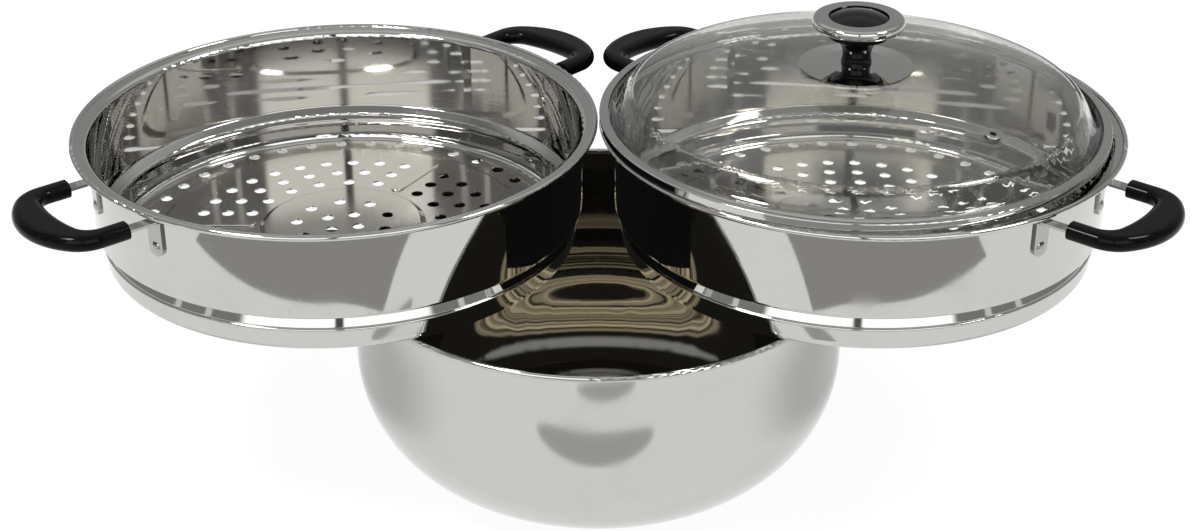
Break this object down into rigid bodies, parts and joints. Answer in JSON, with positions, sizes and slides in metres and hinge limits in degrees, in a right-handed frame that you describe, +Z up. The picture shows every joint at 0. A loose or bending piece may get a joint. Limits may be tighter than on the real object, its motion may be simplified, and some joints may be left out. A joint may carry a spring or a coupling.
{
  "type": "steamer pot set",
  "caption": "Round-bottomed steel pot carrying side-by-side steamer tiers with perforated floors, loop grips and a domed glass lid with a steel band.",
  "frame": {"origin": "centre of the pot's flat base, on the surface that it stands on", "axes": "+Z up, +X to the right along the line of the two tiers, +Y away from the front"},
  "size_m": [0.6192, 0.3197, 0.2702],
  "materials": {
    "polished_steel": "polished stainless steel",
    "black_phenolic": "glossy moulded phenolic",
    "clear_glass": "clear tempered glass",
    "silicone": "matt silicone"
  },
  "bodies": {
    "pot": {"pot_bowl": "polished_steel", "pot_left_grip": "black_phenolic", "pot_left_strap_a": "polished_steel", "pot_left_strap_b": "polished_steel", "pot_right_grip": "black_phenolic", "pot_right_strap_a": "polished_steel", "pot_right_strap_b": "polished_steel", "pot_rivets": "polished_steel"},
    "left_tier": {"left_steamer_pan": "polished_steel", "left_front_grip": "black_phenolic", "left_front_strap_a": "polished_steel", "left_front_strap_b": "polished_steel", "left_back_grip": "black_phenolic", "left_back_strap_a": "polished_steel", "left_back_strap_b": "polished_steel", "left_rivets": "polished_steel"},
    "right_tier": {"right_steamer_pan": "polished_steel", "right_front_grip": "black_phenolic", "right_front_strap_a": "polished_steel", "right_front_strap_b": "polished_steel", "right_back_grip": "black_phenolic", "right_back_strap_a": "polished_steel", "right_back_strap_b": "polished_steel", "right_rivets": "polished_steel"},
    "lid": {"lid_glass": "clear_glass", "lid_band": "polished_steel", "vent_eyelet": "polished_steel", "knob_seal": "silicone", "knob_base_plate": "polished_steel", "knob_neck": "black_phenolic", "knob_ring": "polished_steel", "knob_cap": "black_phenolic", "knob_lower_seal": "silicone", "knob_washer": "polished_steel", "knob_screw": "polished_steel"}
  },
  "joints": [
    {"name": "left_tier_lift", "type": "slide", "parent": "pot", "child": "left_tier", "axis": [0, 0, 1], "range_m": [0, 0.12]},
    {"name": "right_tier_lift", "type": "slide", "parent": "pot", "child": "right_tier", "axis": [0, 0, 1], "range_m": [0, 0.12]},
    {"name": "lid_lift", "type": "slide", "parent": "right_tier", "child": "lid", "axis": [0, 0, 1], "range_m": [0, 0.08]}
  ]
}
